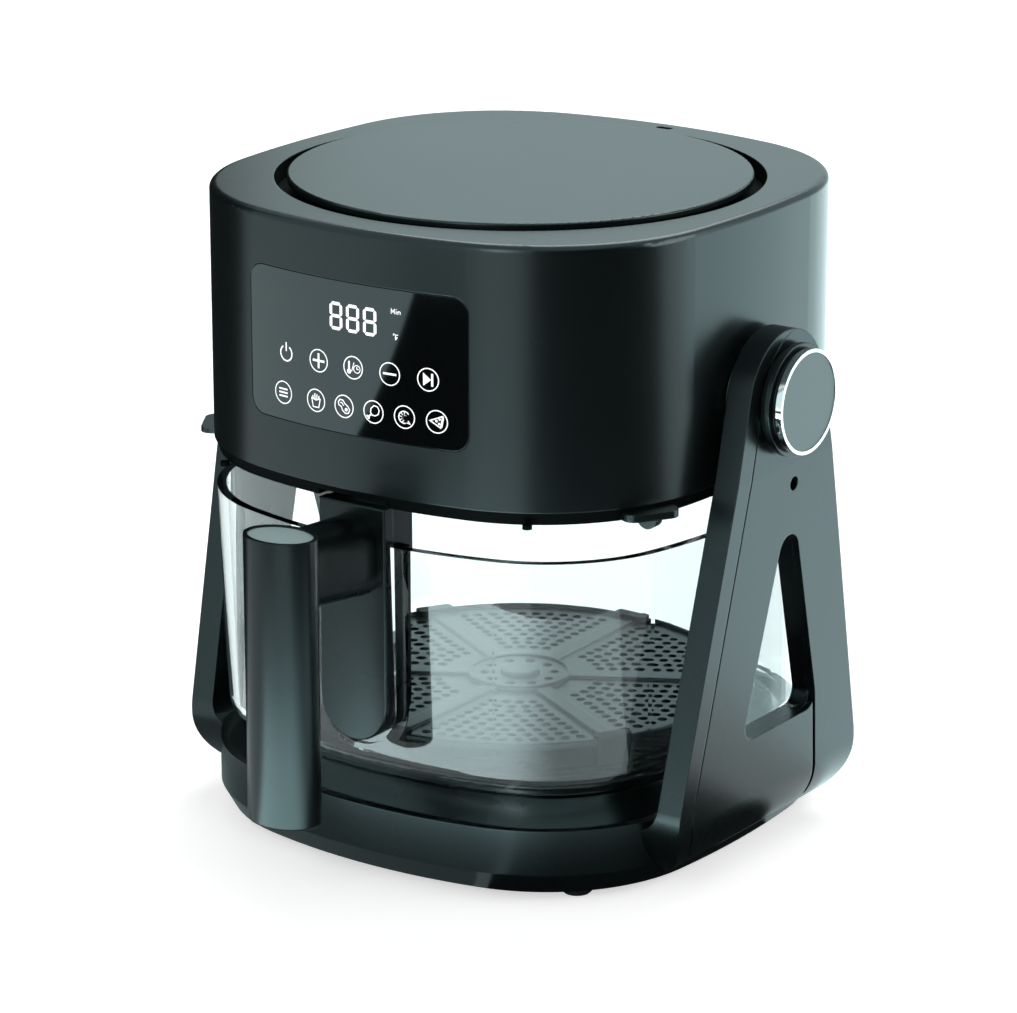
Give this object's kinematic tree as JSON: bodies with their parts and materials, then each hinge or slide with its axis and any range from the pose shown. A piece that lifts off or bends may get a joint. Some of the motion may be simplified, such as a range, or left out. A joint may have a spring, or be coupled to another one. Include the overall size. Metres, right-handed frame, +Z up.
{
  "type": "air fryer with tilting head",
  "caption": "Countertop air fryer with a pivoting cooking head above a clear glass drawer bowl, upright grip and perforated rack, held between two A-shaped arms.",
  "frame": {"origin": "on the table under the middle of the head and bowl, in the plane of the feet", "axes": "+Z up, the front with the handle and control panel faces -Y, +X towards the right arm as seen from the front"},
  "size_m": [0.2864, 0.3012, 0.2791],
  "materials": {
    "satin_black": "satin",
    "dull_black": "matt",
    "deck_grey": "satin",
    "panel_black": "gloss",
    "cap_grey": "satin",
    "grip_grey": "satin",
    "chrome": "polished",
    "clear_glass": "clear",
    "rack_black": "non-stick coated",
    "sheet_metal": "pressed",
    "element_metal": "sheathed tube",
    "zinc": "plated",
    "rubber": "matt",
    "board_green": "laminate"
  },
  "bodies": {
    "base": {"base_frame": "satin_black", "arm_cover_right": "satin_black", "arm_cover_left": "satin_black", "bottom_cover": "dull_black", "cover_screws": "zinc", "base_feet": "rubber", "cord_gland": "rubber", "pivot_bushes": "dull_black", "bowl_seat_ring": "rubber"},
    "head": {"head_shell": "satin_black", "head_skirt": "dull_black", "inlet_grille": "dull_black", "inlet_cap": "deck_grey", "control_panel": "panel_black", "control_board": "board_green", "heat_reflector": "sheet_metal", "heater_guard": "sheet_metal", "heating_element": "element_metal", "element_clips": "sheet_metal", "fan_motor": "zinc", "motor_bracket": "sheet_metal", "temperature_sensor": "sheet_metal", "head_tab_right": "satin_black", "head_tab_left": "satin_black", "pivot_axles": "zinc", "knob_collars": "satin_black", "knob_rings": "chrome", "knob_caps": "cap_grey"},
    "fans": {"motor_shaft": "zinc", "hot_air_fan": "sheet_metal", "cooling_fan": "dull_black"},
    "bowl": {"glass_bowl": "clear_glass", "handle_plate": "satin_black", "handle_clamp": "satin_black", "handle_screws": "zinc", "grip_shell": "satin_black", "grip_back": "satin_black", "grip_cap": "grip_grey"},
    "rack": {"crisper_rack": "rack_black", "rack_button": "rack_black", "rack_bumpers": "rubber"}
  },
  "joints": [
    {"name": "head_tilt", "type": "hinge", "parent": "base", "child": "head", "pos_m": [0, 0, 0.2011], "axis": [-1, 0, 0], "range_deg": [0, 7.5]},
    {"name": "bowl_slide", "type": "slide", "parent": "base", "child": "bowl", "axis": [0, -1, 0], "range_m": [0, 0.13]},
    {"name": "rack_lift", "type": "slide", "parent": "bowl", "child": "rack", "axis": [0, 0, 1], "range_m": [0, 0.08]},
    {"name": "fan_spin", "type": "hinge", "parent": "head", "child": "fans", "pos_m": [0, 0, 0.2], "axis": [0, 0, 1], "continuous": true}
  ]
}
